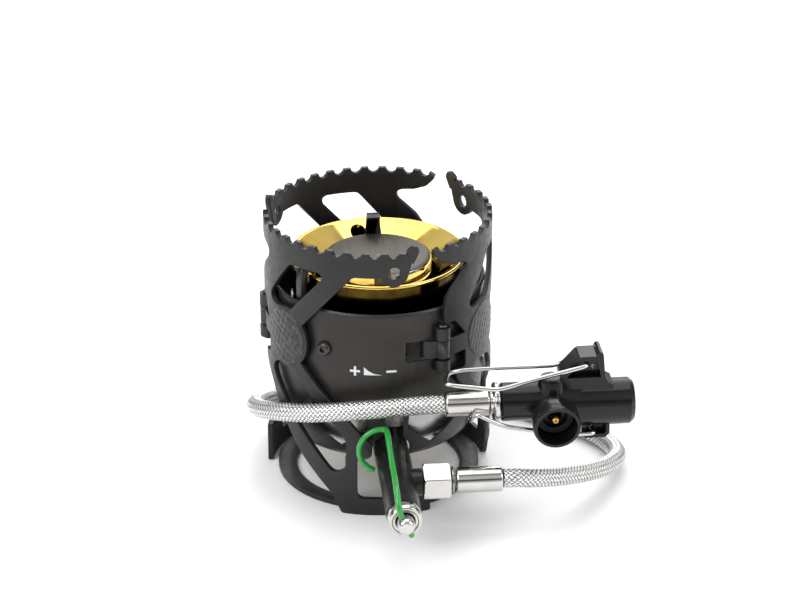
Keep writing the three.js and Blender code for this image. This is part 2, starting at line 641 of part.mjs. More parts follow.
function lowerStandWire() {
  const y = LINE.y;
  return standWire(LOWER_PIVOT, [
    [70, y - 6.4, 37.6], [60, y - 7.1, 39], [50, y - 7.5, 40.9], [41.5, y - 7.5, 42.8],
    [35, y - 7.5, 45.8], [31.6, y - 7.1, 47.4], [30.2, y - 5.8, 46.4], [29.7, y - 3.3, 43.4],
  ], [
    [29.7, y, 42.1], [30, y + 3.5, 42.5], [31.2, y + 6.3, 43], [35, y + 7.3, 42.6],
    [44, y + 7.5, 41], [58, y + 6.9, 38.6], [70, y + 6.4, 37.6],
  ]);
}

function buildConnector() {
  add('connector_ferrule', onLine(ferrule(HOSE.lineFrom, HOSE.lineTo)), CHROME);
  add('connector_collar', onLine(turned([
    [0, 36.8], [4.3, 36.8], [4.3, 37.8], [7, 38], [7.4, 38.5], [7.4, 39.7], [6.9, 40.3], [0, 40.3],
  ], 36)), CHROME);
  add('connector_body', connectorBody(), BLACK_PLASTIC);
  add('upper_stand_wire', upperStandWire(), CHROME);
  add('lower_stand_wire', lowerStandWire(), CHROME);
  add('depressor_pin', onBranch(turned([
    [0, 5], [2.2, 5], [2.2, 9], [1.5, 9.6], [1.5, 13.6], [0.9, 14], [0.5, 14], [0.5, 12.5],
    [0, 12.5],
  ], 16)), BRASS);
  const gasket = turned([[4.6, 10.3], [7, 10.3], [7, 11.5], [4.6, 11.5]], 28);
  add('cup_seal', onBranch(gasket), RUBBER);
}

buildBurner();
buildLegs();
buildValve();
buildInlet();
buildConnector();

export default stove;
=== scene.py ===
import json
import math

import bmesh
import bpy
import numpy as np
from mathutils import Matrix, Vector

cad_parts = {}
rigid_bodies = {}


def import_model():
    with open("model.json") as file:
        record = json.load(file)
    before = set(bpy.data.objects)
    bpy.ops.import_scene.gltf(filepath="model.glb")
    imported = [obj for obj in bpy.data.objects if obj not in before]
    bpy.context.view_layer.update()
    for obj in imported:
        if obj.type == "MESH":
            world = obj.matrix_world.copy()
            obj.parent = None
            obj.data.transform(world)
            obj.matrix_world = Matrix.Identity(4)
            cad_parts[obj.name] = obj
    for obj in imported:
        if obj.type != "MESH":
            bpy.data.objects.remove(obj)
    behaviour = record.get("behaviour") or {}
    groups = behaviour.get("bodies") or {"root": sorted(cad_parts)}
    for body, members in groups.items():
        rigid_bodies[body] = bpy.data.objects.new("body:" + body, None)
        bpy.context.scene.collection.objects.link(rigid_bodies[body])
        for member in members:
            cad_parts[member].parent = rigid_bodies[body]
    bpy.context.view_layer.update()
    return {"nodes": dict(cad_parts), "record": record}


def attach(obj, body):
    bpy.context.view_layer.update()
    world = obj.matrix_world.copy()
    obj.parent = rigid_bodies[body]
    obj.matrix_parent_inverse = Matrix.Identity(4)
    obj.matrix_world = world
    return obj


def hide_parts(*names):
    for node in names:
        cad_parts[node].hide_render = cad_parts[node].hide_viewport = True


# The looks of a remote camping burner, folded for packing. Lengths here are millimetres, in the
# CAD's frame, and are turned into metres by MM when a mesh is made.

for leftover in list(bpy.data.objects):
    bpy.data.objects.remove(leftover)
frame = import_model()

MM = 0.001
NODES = frame["nodes"]
BODY_OF = {n: b for b, names in frame["record"]["behaviour"]["bodies"].items() for n in names}

HOSE_RADIUS = 3.6
HOSE_ROUTE = [
    (40.4, -63, 24.4), (45.5, -62.8, 24.2), (52, -60.6, 22.6), (61.5, -53, 18.6),
    (74, -41.5, 13.6), (84, -29, 9.2), (90, -18.5, 6.8), (91.9, -8.6, 5), (89.9, 1.5, 3.9),
    (84.4, 11, 3.8), (74, 22.6, 3.8), (60, 34, 3.8), (44, 43.6, 3.8), (27, 50.6, 3.8),
    (9, 54.2, 3.8), (-8, 53.6, 4.6), (-23.5, 47, 8.2), (-36, 35.6, 13), (-44, 20, 19),
    (-47, 3.5, 25.6), (-46, -12, 31.6), (-40, -26, 37.2), (-29.5, -38, 42), (-16, -45.6, 45.8),
    (-1.5, -49, 48), (10, -49.5, 48.9), (19.9, -49.5, 49),
]
VALVE_X, VALVE_Z = 1.5, 24.4
LINE_Y, LINE_Z = -49.5, 49.0
INLET_Y = -63.0
BRANCH_X, BRANCH_TILT = 59.5, math.radians(8)
BRANCH_AXIS = (0, -math.cos(BRANCH_TILT), -math.sin(BRANCH_TILT))
HINGE_ANGLE, HINGE_RADIUS = 179.5, 42.0
SCREW_ANGLE, SCREW_Z = -124.5, 65.9
DRUM_RADIUS = 40.0
LEG_RADIUS, LEG_SHEET = 43.0, 2.0
BOWL_RIM, BOWL_FLOOR, BOWL_RADIUS = 89.9, 66.0, 33.2
BOWL_HOLES, BOWL_HOLE_RADIUS, BOWL_HOLES_AT = (101, -146, -26), 3.1, 27
SPREADER_RADIUS = 20.3
FERRULE_RADIUS = 4.75
STAND_WIRE_RADIUS = 0.8
TURNS = [(0, 1), (120, 2), (240, 3)]
SMOOTH_BELOW = 35.0


# ---------- mesh helpers ----------

def new_object(name, bm, matrix=None, smooth_angle=SMOOTH_BELOW):
    """A bmesh in millimetres as an object in metres, smooth except at its sharp edges."""
    if matrix is not None:
        bm.transform(matrix)
    bm.transform(Matrix.Scale(MM, 4))
    bmesh.ops.recalc_face_normals(bm, faces=bm.faces)
    mesh = bpy.data.meshes.new(name)
    bm.to_mesh(mesh)
    bm.free()
    return shown(name, mesh, smooth_angle)


def shown(name, mesh, smooth_angle=SMOOTH_BELOW):
    """An object for a mesh, shaded smooth except at edges sharper than smooth_angle degrees."""
    mesh.shade_smooth()
    mesh.set_sharp_from_angle(angle=math.radians(smooth_angle))
    obj = bpy.data.objects.new(name, mesh)
    bpy.context.scene.collection.objects.link(obj)
    return obj


def finished(obj):
    """The object with its modifiers applied."""
    bpy.context.view_layer.update()
    graph = bpy.context.evaluated_depsgraph_get()
    mesh = bpy.data.meshes.new_from_object(obj.evaluated_get(graph))
    obj.modifiers.clear()
    obj.data = mesh
    mesh.shade_smooth()
    mesh.set_sharp_from_angle(angle=math.radians(SMOOTH_BELOW))
    return obj


def carve(obj, *tools):
    """Cuts the tools out of an object and removes them."""
    for tool in tools:
        cut = obj.modifiers.new("cut", "BOOLEAN")
        cut.operation, cut.solver, cut.object = "DIFFERENCE", "EXACT", tool
    finished(obj)
    for tool in tools:
        bpy.data.objects.remove(tool)
    return obj


def rounded_edges(obj, width):
    bevel = obj.modifiers.new("edges", "BEVEL")
    bevel.width, bevel.segments = width * MM, 2
    bevel.limit_method, bevel.angle_limit = "ANGLE", math.radians(32)
    normals = obj.modifiers.new("normals", "WEIGHTED_NORMAL")
    normals.keep_sharp = True
    return obj


def place(obj, node, *materials):
    """obj stands for a CAD node: it rides on that node's body, gets the given materials, and the
    node is hidden.
    """
    for finish in materials:
        obj.data.materials.append(finish)
    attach(obj, BODY_OF[node])
    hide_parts(node)
    return obj


def softened(points, radius, steps=3):
    """A closed outline whose corners are rounded, except where it meets the axis x = 0."""
    outline = []
    corners = [Vector(p) for p in points]
    for i, corner in enumerate(corners):
        if abs(corner.x) < 1e-6:
            outline.append(corner)
            continue
        before, after = corners[i - 1] - corner, corners[(i + 1) % len(corners)] - corner
        reach = min(radius, before.length * 0.45, after.length * 0.45)
        start = corner + before.normalized() * reach
        end = corner + after.normalized() * reach
        for k in range(steps + 1):
            t = k / steps
            outline.append(start * (1 - t) ** 2 + corner * 2 * t * (1 - t) + end * t * t)
    return outline


def lathe_mesh(profile, segments=96, radius=0.25, steps=3):
    """A closed profile of (radius, height) turned about Z."""
    bm = bmesh.new()
    rings = []
    for r, z in softened(profile, radius, steps):
        if r < 1e-6:
            rings.append([bm.verts.new((0, 0, z))])
            continue
        angles = [2 * math.pi * i / segments for i in range(segments)]
        rings.append([bm.verts.new((r * math.cos(a), r * math.sin(a), z)) for a in angles])
    pairs = list(zip(rings, rings[1:]))
    if len(rings[0]) > 1:
        pairs.append((rings[-1], rings[0]))
    for low, high in pairs:
        for i in range(segments):
            j = (i + 1) % segments
            ring = [low[i % len(low)], low[j % len(low)], high[j % len(high)], high[i % len(high)]]
            corners = list(dict.fromkeys(ring))
            if len(corners) > 2:
                bm.faces.new(corners)
    return bm


def axis_matrix(origin, direction):
    turn = Vector((0, 0, 1)).rotation_difference(Vector(direction))
    return Matrix.Translation(origin) @ turn.to_matrix().to_4x4()


def lathe(name, profile, origin=(0, 0, 0), direction=(0, 0, 1), **options):
    return new_object(name, lathe_mesh(profile, **options), axis_matrix(origin, direction))


def drill(radius, start, end):
    """A plain round bar to cut a hole with."""
    start, end = Vector(start), Vector(end)
    length = (end - start).length
    profile = [(0, 0), (radius, 0), (radius, length), (0, length)]
    return lathe("drill", profile, start, end - start, segments=32, radius=0.0, steps=1)


def block(name, low, high):
    bm = bmesh.new()
    bmesh.ops.create_cube(bm, size=1)
    size = [h - l for l, h in zip(low, high)]
    centre = [(h + l) / 2 for l, h in zip(low, high)]
    return new_object(name, bm, Matrix.Translation(centre) @ Matrix.Diagonal((*size, 1)))


def smooth_route(points, step):
    """Points about step apart on the centripetal Catmull-Rom curve through the given ones."""
    p = np.array(points, float)
    p = np.vstack([2 * p[0] - p[1], p, 2 * p[-1] - p[-2]])
    fine = []
    for a, b, c, d in zip(p, p[1:], p[2:], p[3:]):
        ta, tb, tc = (np.linalg.norm(y - x) ** 0.5 for x, y in ((a, b), (b, c), (c, d)))
        leave = ((b - a) / ta - (c - a) / (ta + tb) + (c - b) / tb) * tb
        arrive = ((c - b) / tb - (d - b) / (tb + tc) + (d - c) / tc) * tb
        t = np.linspace(0, 1, 60, endpoint=False)[:, None]
        fine.append(b + leave * t + (3 * (c - b) - 2 * leave - arrive) * t**2
                    + (2 * (b - c) + leave + arrive) * t**3)
    line = np.vstack([*fine, p[-2]])
    run = np.concatenate([[0], np.cumsum(np.linalg.norm(np.diff(line, axis=0), axis=1))])
    at = np.linspace(0, run[-1], max(2, round(run[-1] / step) + 1))
    return np.stack([np.interp(at, run, line[:, k]) for k in range(3)], axis=1), at


def frames_along(line):
    """Two unit vectors across the line at each point, which don't twist along it."""
    tangent = np.gradient(line, axis=0)
    tangent /= np.linalg.norm(tangent, axis=1)[:, None]
    side = np.cross(tangent[0], (0, 0, 1.0))
    if np.linalg.norm(side) < 0.1:
        side = np.cross(tangent[0], (1.0, 0, 0))
    sides = []
    for t in tangent:
        side = side - t * (side @ t)
        side /= np.linalg.norm(side)
        sides.append(side)
    sides = np.array(sides)
    return sides, np.cross(tangent, sides)


def tube_mesh(name, line, radii, sides):
    """A capped tube: radii has a row for each point of the line and a column for each side."""
    u, v = frames_along(line)
    angle = np.arange(sides) * 2 * math.pi / sides
    ring = u[:, None] * np.cos(angle)[:, None] + v[:, None] * np.sin(angle)[:, None]
    points = (line[:, None] + ring * radii[:, :, None]).reshape(-1, 3) * MM
    rows, i = len(line), np.arange(sides)
    start = np.arange(rows - 1)[:, None] * sides
    quads = np.stack([start + i, start + (i + 1) % sides,
                      start + sides + (i + 1) % sides, start + sides + i], axis=2)
    faces = quads.reshape(-1, 4).tolist()
    faces.append(list(range(sides))[::-1])
    faces.append(list(range((rows - 1) * sides, rows * sides)))
    mesh = bpy.data.meshes.new(name)
    mesh.from_pydata(points.tolist(), [], faces)
    mesh.update()
    return mesh


def wire(name, points, radius, sides=16, step=0.5):
    """A round wire whose two ends are rounded over."""
    line, at = smooth_route(points, step)
    to_end = np.minimum(at, at[-1] - at)
    share = np.clip(to_end / (0.6 * radius), 0, 1)
    radii = radius * (0.55 + 0.45 * np.sqrt(1 - (1 - share) ** 2))
    return shown(name, tube_mesh(name, line, np.tile(radii[:, None], sides), sides), 50)


def refine(node, bevel=0.15):
    """A copy of a CAD node with its flat faces whole and its edges rounded."""
    bm = bmesh.new()
    bm.from_mesh(NODES[node].data)
    bmesh.ops.remove_doubles(bm, verts=bm.verts, dist=3e-6)
    bmesh.ops.dissolve_limit(bm, angle_limit=math.radians(0.7), verts=bm.verts, edges=bm.edges)
    mesh = bpy.data.meshes.new(node + "_fine")
    bm.to_mesh(mesh)
    bm.free()
    return rounded_edges(shown(node + "_fine", mesh), bevel)


def sheet_metal(name, outline, holes, thickness, edge, centre_radius):
    """A flat cut sheet with rounded edges, rolled round Z: x is arc length, y is height."""
    curve = bpy.data.curves.new(name, "CURVE")
    curve.dimensions, curve.fill_mode = "2D", "BOTH"
    curve.extrude, curve.bevel_depth, curve.offset = thickness / 2 - edge, edge, -edge
    curve.bevel_resolution = 2
    for points in (outline, *holes):
        spline = curve.splines.new("POLY")
        spline.points.add(len(points) - 1)
        for point, (x, y) in zip(spline.points, points):
            point.co = (x, y, 0, 1)
        spline.use_cyclic_u = True
    flat = bpy.data.objects.new(name, curve)
    mesh = bpy.data.meshes.new_from_object(flat)
    bpy.data.objects.remove(flat)
    bm = bmesh.new()
    bm.from_mesh(mesh)
    bpy.data.meshes.remove(mesh)
    bmesh.ops.remove_doubles(bm, verts=bm.verts, dist=1e-3)
    step = math.radians(2.5) * centre_radius
    low, high = (f(v.co.x for v in bm.verts) for f in (min, max))
    for k in range(math.ceil(low / step), math.ceil(high / step)):
        everything = [*bm.verts, *bm.edges, *bm.faces]
        bmesh.ops.bisect_plane(bm, geom=everything, plane_co=(k * step, 0, 0),
                               plane_no=(1, 0, 0), dist=1e-4)
    for v in bm.verts:
        angle, radius = v.co.x / centre_radius, centre_radius + v.co.z
        v.co = (radius * math.cos(angle), radius * math.sin(angle), v.co.y)
    return bm


def arc(centre, radius, first, last, count):
    """Points on a circle, from one angle to another in degrees."""
    angles = [math.radians(first + (last - first) * i / (count - 1)) for i in range(count)]
    return [(centre[0] + radius * math.cos(a), centre[1] + radius * math.sin(a)) for a in angles]


def prism(bm, outline, low, high):
    """Adds a flat outline to a bmesh, extruded between two heights."""
    rings = [[bm.verts.new((x, y, z)) for x, y in outline] for z in (low, high)]
    for i in range(len(outline)):
        j = (i + 1) % len(outline)
        bm.faces.new((rings[0][i], rings[0][j], rings[1][j], rings[1][i]))
    bm.faces.new(rings[0][::-1])
    bm.faces.new(rings[1])


def polar(radius, degrees):
    angle = math.radians(degrees)
    return radius * math.cos(angle), radius * math.sin(angle)


def paint_where(obj, index, wanted):
    """Gives a material index to the faces whose distance from Z and height are wanted."""
    for face in obj.data.polygons:
        x, y, z = face.center / MM
        if wanted(math.hypot(x, y), z):
            face.material_index = index


def merge(target, source):
    """Adds one bmesh's faces to another."""
    mesh = bpy.data.meshes.new("part")
    source.to_mesh(mesh)
    source.free()
    target.from_mesh(mesh)
    bpy.data.meshes.remove(mesh)


# ---------- camera and hose ----------

def make_camera():
    data = bpy.data.cameras.new("camera")
    data.lens, data.clip_start, data.clip_end = 133.2, 0.05, 20
    camera = bpy.data.objects.new("camera", data)
    camera.location = (-0.08897, -1.01688, 0.53790)
    camera.rotation_mode = "QUATERNION"
    aim = Vector((0.00839, 0, 0.06803)) - camera.location
    camera.rotation_quaternion = aim.to_track_quat("-Z", "Y")
    bpy.context.scene.collection.objects.link(camera)
    bpy.context.scene.camera = camera


# Strands each way, the length in which one winds once round, and how far it dips to pass under.
STRANDS, TURN_LENGTH, WEAVE_DEPTH = 12, 22.0, 0.5


def braided_hose():
    """A woven sleeve: strands wind both ways and pass over and under each other."""
    sides, step = ((96, 0.3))
    line, at = smooth_route(HOSE_ROUTE, step)
    around = np.arange(sides) / sides
    right = STRANDS * (around[None] + at[:, None] / TURN_LENGTH)
    left = STRANDS * (around[None] - at[:, None] / TURN_LENGTH)
    across_right, across_left = right % 1, left % 1

    def crown(across, lengthwise):
        return (1 - abs(2 * across - 1) ** 3) * (0.5 + 0.5 * np.sin(math.pi * lengthwise))

    right_is_over = (np.floor(right) + np.floor(left)) % 2 == 0
    height = np.where(right_is_over, crown(across_right, across_left),
                      crown(across_left, across_right))
    mesh = tube_mesh("fuel_hose_braid", line, HOSE_RADIUS - WEAVE_DEPTH * (1 - height), sides)
    number_strands(mesh, right, left)
    return shown("fuel_hose_braid", mesh, 180), [tuple(point * MM) for point in line]


def number_strands(mesh, right, left):
    """A UV layer whose first value runs from n to n + 1 across the nth of the strands on top."""
    def corners(grid):
        grid = np.concatenate([grid, grid[:, :1] + STRANDS], axis=1)
        return np.stack([grid[:-1, :-1], grid[:-1, 1:], grid[1:, 1:], grid[1:, :-1]], axis=2)

    right, left = corners(right), corners(left)
    right_is_over = ((np.floor(right.mean(2)) + np.floor(left.mean(2))) % 2 == 0)[..., None]
    sides = np.stack([np.where(right_is_over, right, left),
                      np.where(right_is_over, left, right)], axis=3).reshape(-1, 2)
    values = np.zeros((len(mesh.loops), 2))
    values[: len(sides)] = sides
    mesh.uv_layers.new(name="strand").data.foreach_set("uv", values.ravel())


# ---------- materials ----------

class Finish:
    """A node material being built: a Principled shader with helpers for its inputs."""

    def __init__(self, name, color, roughness, metallic=0.0):
        self.material = bpy.data.materials.new(name)
        self.material.use_nodes = True
        self.tree = self.material.node_tree
        self.shader = self.tree.nodes["Principled BSDF"]
        self.set("Base Color", (*color, 1))
        self.set("Roughness", roughness)
        self.set("Metallic", metallic)
        self.place = self.node("ShaderNodeTexCoord").outputs["Object"]
        self.normal = None

    def node(self, kind, **values):
        node = self.tree.nodes.new(kind)
        for key, value in values.items():
            setattr(node, key, value)
        return node

    def link(self, source, target):
        self.tree.links.new(source, target)

    def set(self, socket, value):
        self.shader.inputs[socket].default_value = value
        return self

    def stretched(self, scale):
        mapping = self.node("ShaderNodeMapping")
        mapping.inputs["Scale"].default_value = scale
        self.link(self.place, mapping.inputs["Vector"])
        return mapping.outputs["Vector"]

    def noise(self, per_metre, detail=4.0, stretch=(1, 1, 1)):
        noise = self.node("ShaderNodeTexNoise")
        noise.inputs["Scale"].default_value = per_metre
        noise.inputs["Detail"].default_value = detail
        noise.inputs["Roughness"].default_value = 0.55
        self.link(self.stretched(stretch), noise.inputs["Vector"])
        return noise.outputs["Fac"]

    def cells(self, per_metre):
        cells = self.node("ShaderNodeTexVoronoi", feature="SMOOTH_F1")
        cells.inputs["Scale"].default_value = per_metre
        self.link(self.place, cells.inputs["Vector"])
        return cells.outputs["Distance"]

    def rings(self, per_metre):
        """Noise that changes only with the distance from Z and the height: turning marks."""
        parts = self.node("ShaderNodeSeparateXYZ")
        flat = self.node("ShaderNodeCombineXYZ")
        radius = self.node("ShaderNodeVectorMath", operation="LENGTH")
        outward_and_up = self.node("ShaderNodeCombineXYZ")
        noise = self.node("ShaderNodeTexNoise")
        noise.inputs["Scale"].default_value = per_metre
        noise.inputs["Detail"].default_value = 3
        self.link(self.place, parts.inputs[0])
        self.link(parts.outputs["X"], flat.inputs["X"])
        self.link(parts.outputs["Y"], flat.inputs["Y"])
        self.link(flat.outputs[0], radius.inputs[0])
        self.link(radius.outputs["Value"], outward_and_up.inputs["X"])
        self.link(parts.outputs["Z"], outward_and_up.inputs["Z"])
        self.link(outward_and_up.outputs[0], noise.inputs["Vector"])
        return noise.outputs["Fac"]

    def colors(self, factor, *stops):
        ramp = self.node("ShaderNodeValToRGB")
        elements = ramp.color_ramp.elements
        while len(elements) < len(stops):
            elements.new(0.5)
        for element, (at, color) in zip(elements, stops):
            element.position, element.color = at, (*color, 1)
        self.link(factor, ramp.inputs["Fac"])
        self.link(ramp.outputs["Color"], self.shader.inputs["Base Color"])
        return self

    def roughness(self, factor, low, high):
        spread = self.node("ShaderNodeMapRange")
        spread.inputs["From Min"].default_value = 0.3
        spread.inputs["From Max"].default_value = 0.7
        spread.inputs["To Min"].default_value = low
        spread.inputs["To Max"].default_value = high
        self.link(factor, spread.inputs["Value"])
        self.link(spread.outputs["Result"], self.shader.inputs["Roughness"])
        return self

    def bump(self, factor, strength, depth_mm):
        bump = self.node("ShaderNodeBump")
        bump.inputs["Strength"].default_value = strength
        bump.inputs["Distance"].default_value = depth_mm * MM
        self.link(factor, bump.inputs["Height"])
        if self.normal is not None:
            self.link(self.normal, bump.inputs["Normal"])
        self.normal = bump.outputs["Normal"]
        self.link(self.normal, self.shader.inputs["Normal"])
        return self


def make_coatings():
    made = {}

    drum = Finish("drum_coating", (0.03, 0.028, 0.026), 0.38, 0.5)
    blotch = drum.noise(38, 5)
    drum.colors(blotch, (0.3, (0.021, 0.02, 0.019)), (0.7, (0.037, 0.034, 0.032)))
    drum.roughness(drum.noise(260, 3), 0.32, 0.44).bump(drum.noise(2600, 2), 0.05, 0.02)
    made["drum"] = drum

    leg = Finish("leg_coating", (0.013, 0.013, 0.014), 0.45, 0.25)
    leg.colors(leg.noise(60, 6), (0.32, (0.008, 0.008, 0.009)), (0.72, (0.018, 0.018, 0.019)))
    leg.roughness(leg.noise(420, 4), 0.3, 0.5)
    leg.bump(leg.noise(1500, 3), 0.16, 0.05).bump(leg.cells(480), 0.12, 0.06)
    made["leg"] = leg

    pad = Finish("beaten_pad", (0.03, 0.03, 0.03), 0.34, 0.5)
    pad.colors(pad.noise(500, 5), (0.35, (0.014,) * 3), (0.7, (0.06, 0.06, 0.059)))
    pad.roughness(pad.noise(700, 4), 0.26, 0.44)
    pad.bump(pad.noise(1300, 4), 0.3, 0.08).bump(pad.cells(620), 0.3, 0.1)
    made["pad"] = pad

    valve = Finish("valve_coating", (0.016, 0.0155, 0.0155), 0.3, 0.5)
    valve.colors(valve.noise(80, 4), (0.3, (0.012,) * 3), (0.7, (0.023, 0.022, 0.022)))
    valve.roughness(valve.noise(600, 3, (1, 0.1, 1)), 0.24, 0.36)
    valve.bump(valve.noise(2200, 2), 0.05, 0.02)
    made["valve"] = valve

    green = Finish("green_paint", (0.012, 0.3, 0.035), 0.26, 0)
    green.colors(green.noise(260, 5), (0.3, (0.008, 0.25, 0.028)), (0.7, (0.014, 0.33, 0.042)))
    green.roughness(green.noise(300, 3), 0.2, 0.28).bump(green.noise(500, 2), 0.02, 0.01)
    green.set("Coat Weight", 0.6)
    made["green"] = green

    ink = Finish("white_print", (0.8, 0.8, 0.79), 0.5, 0)
    ink.colors(ink.noise(1500, 5), (0.3, (0.6, 0.6, 0.59)), (0.6, (0.76, 0.76, 0.75)))
    ink.bump(ink.noise(2600, 2), 0.15, 0.02)
    made["ink"] = ink
    return made


def make_metals():
    made = {}

    gold = Finish("gold_bowl", (0.8, 0.55, 0.12), 0.08, 1)
    gold.colors(gold.noise(60, 4), (0.3, (0.72, 0.48, 0.09)), (0.7, (0.88, 0.66, 0.2)))
    gold.roughness(gold.noise(140, 4), 0.05, 0.13).bump(gold.rings(700), 0.03, 0.02)
    made["gold"] = gold

    # The outer skirt's dark gold is painted shade, standing in for the dim light it gets inside
    # the drum.
    skirt = Finish("gold_painted_shade", (0.05, 0.03, 0.006), 0.12, 1)
    skirt.colors(skirt.noise(90, 5), (0.35, (0.025, 0.016, 0.003)), (0.78, (0.12, 0.078, 0.014)))
    skirt.roughness(skirt.noise(160, 4), 0.08, 0.2).bump(skirt.rings(700), 0.03, 0.02)
    made["skirt"] = skirt

    brushed = Finish("brushed_steel", (0.11, 0.102, 0.088), 0.46, 1)
    streak = brushed.noise(1500, 4, (1, 0.05, 1))
    brushed.colors(streak, (0.3, (0.085, 0.078, 0.066)), (0.72, (0.135, 0.126, 0.11)))
    brushed.roughness(streak, 0.4, 0.54).bump(streak, 0.06, 0.02)
    made["brushed"] = brushed

    steel = Finish("plain_steel", (0.3, 0.29, 0.28), 0.26, 1)
    steel.colors(steel.noise(70, 5), (0.3, (0.24, 0.23, 0.22)), (0.7, (0.36, 0.35, 0.34)))
    steel.roughness(steel.noise(500, 4), 0.18, 0.34).bump(steel.noise(900, 3), 0.04, 0.02)
    made["steel"] = steel

    dark = Finish("heat_stained_steel", (0.06, 0.058, 0.056), 0.34, 0.8)
    dark.colors(dark.noise(90, 5), (0.3, (0.04, 0.038, 0.037)), (0.7, (0.09, 0.087, 0.083)))
    dark.roughness(dark.noise(500, 4), 0.26, 0.42).bump(dark.noise(900, 3), 0.04, 0.02)
    made["dark"] = dark

    chrome = Finish("bright_plate", (0.58, 0.57, 0.55), 0.12, 1)
    chrome.colors(chrome.noise(90, 3), (0.3, (0.54, 0.53, 0.51)), (0.7, (0.64, 0.63, 0.61)))
    chrome.roughness(chrome.noise(320, 4), 0.09, 0.17).bump(chrome.noise(700, 2), 0.02, 0.01)
    made["chrome"] = chrome

    foil = Finish("cup_steel", (0.7, 0.69, 0.68), 0.4, 1)
    foil.colors(foil.noise(130, 5), (0.3, (0.55, 0.54, 0.53)), (0.7, (0.8, 0.79, 0.78)))
    foil.roughness(foil.noise(400, 4), 0.34, 0.48).bump(foil.noise(110, 3), 0.4, 0.5)
    made["foil"] = foil

    brass = Finish("turned_brass", (0.82, 0.5, 0.13), 0.24, 1)
    brass.colors(brass.noise(300, 4), (0.3, (0.7, 0.4, 0.09)), (0.7, (0.88, 0.57, 0.18)))
    brass.roughness(brass.noise(700, 3), 0.16, 0.34).bump(brass.noise(1600, 2), 0.06, 0.02)
    made["brass"] = brass

    made["braid"] = make_braid()
    return made


def make_others():
    made = {}

    plastic = Finish("moulded_plastic", (0.006, 0.006, 0.0065), 0.2, 0)
    plastic.colors(plastic.noise(90, 4), (0.3, (0.0045,) * 3), (0.7, (0.008, 0.008, 0.009)))
    plastic.roughness(plastic.noise(400, 4), 0.15, 0.26).bump(plastic.noise(1500, 2), 0.03, 0.02)
    plastic.set("Specular IOR Level", 0.32)
    made["plastic"] = plastic

    rubber = Finish("black_rubber", (0.012, 0.012, 0.012), 0.75, 0)
    rubber.colors(rubber.noise(400, 4), (0.3, (0.008,) * 3), (0.7, (0.022,) * 3))
    rubber.bump(rubber.noise(2000, 3), 0.3, 0.05)
    made["rubber"] = rubber

    felt = Finish("woven_pad", (0.5, 0.46, 0.38), 0.95, 0)
    felt.colors(felt.noise(900, 6), (0.3, (0.34, 0.31, 0.25)), (0.7, (0.6, 0.56, 0.47)))
    felt.bump(felt.cells(1400), 0.8, 0.3).bump(felt.noise(3000, 4), 0.6, 0.2)
    felt.set("Sheen Weight", 0.3)
    made["felt"] = felt

    return made


def make_braid():
    """Strands with a painted highlight along their backs and painted shade between them, each of
    several fine wires.
    """
    braid = Finish("steel_braid", (0.5, 0.5, 0.49), 0.26, 1)
    uv = braid.node("ShaderNodeUVMap", uv_map="strand")
    one_per_strand = 2 * math.pi / 20
    bands = []
    for scale in (one_per_strand, 5 * one_per_strand):
        waves = braid.node("ShaderNodeTexWave", bands_direction="X", wave_profile="SIN")
        waves.inputs["Scale"].default_value = scale
        braid.link(uv.outputs[0], waves.inputs["Vector"])
        bands.append(waves.outputs["Fac"])
    strand, wires = bands
    # The colour ramp paints shade in the crevices between strands and a highlight along their
    # backs.
    braid.colors(strand, (0.02, (0.03, 0.03, 0.03)), (0.3, (0.5, 0.5, 0.49)),
                 (0.75, (0.86, 0.86, 0.85)))
    return braid.roughness(braid.noise(500, 4), 0.26, 0.38).bump(wires, 0.12, 0.02)


def make_materials():
    made = {**make_coatings(), **make_metals(), **make_others()}
    return {name: finish.material for name, finish in made.items()}


# ---------- pieces ----------

def make_burner(m):
    place(refine("housing", 0.14), "housing", m["drum"])
    place(refine("base_ring", 0.2), "base_ring", m["leg"])
    make_marks(m)
    make_bowl(m)
    make_spreader(m)
    for _, n in TURNS:
        place(refine(f"bowl_bracket_{n}"), f"bowl_bracket_{n}", m["dark"])
    make_cup(m)
    place(refine("priming_pad", 0.4), "priming_pad", m["felt"])
    place(refine("jet_block", 0.2), "jet_block", m["brass"])
    place(refine("jet"), "jet", m["brass"])
    place(refine("mixing_tube"), "mixing_tube", m["steel"])
    make_vaporiser(m)
    for turn, n in TURNS:
        make_screw(m, SCREW_ANGLE + turn, n)


def make_bowl(m):
    """The flared bowl with its rolled lip, its central well, and its outer skirt coloured dark as
    painted shade.
    """
    rim, floor, radius, well, throat = BOWL_RIM, BOWL_FLOOR, BOWL_RADIUS, 22.1, 9.6
    bowl = lathe("burner_bowl_fine", [
        (radius, 70), (radius, rim - 1.4), (radius + 0.2, rim - 0.6), (radius - 0.4, rim),
        (radius - 1.3, rim - 0.4), (23.8, 84.2), (well, 82), (well, floor + 0.8),
        (throat, floor + 0.8), (throat, floor), (well + 0.8, floor), (well + 0.8, 81.6),
        (24.4, 83.3), (radius - 0.8, rim - 2), (radius - 0.8, 70),
    ], segments=160, radius=0.7, steps=4)
    holes = [polar(BOWL_HOLES_AT, degrees) for degrees in BOWL_HOLES]
    carve(bowl, *(drill(BOWL_HOLE_RADIUS, (x, y, 78), (x, y, 92)) for x, y in holes))
    place(bowl, "burner_bowl", m["gold"], m["skirt"])
    # Index 1, the outer skirt below the lip, gets the gold coloured dark as painted shade.
    paint_where(bowl, 1, lambda reach, z: reach > 32 and z < rim - 1.2)


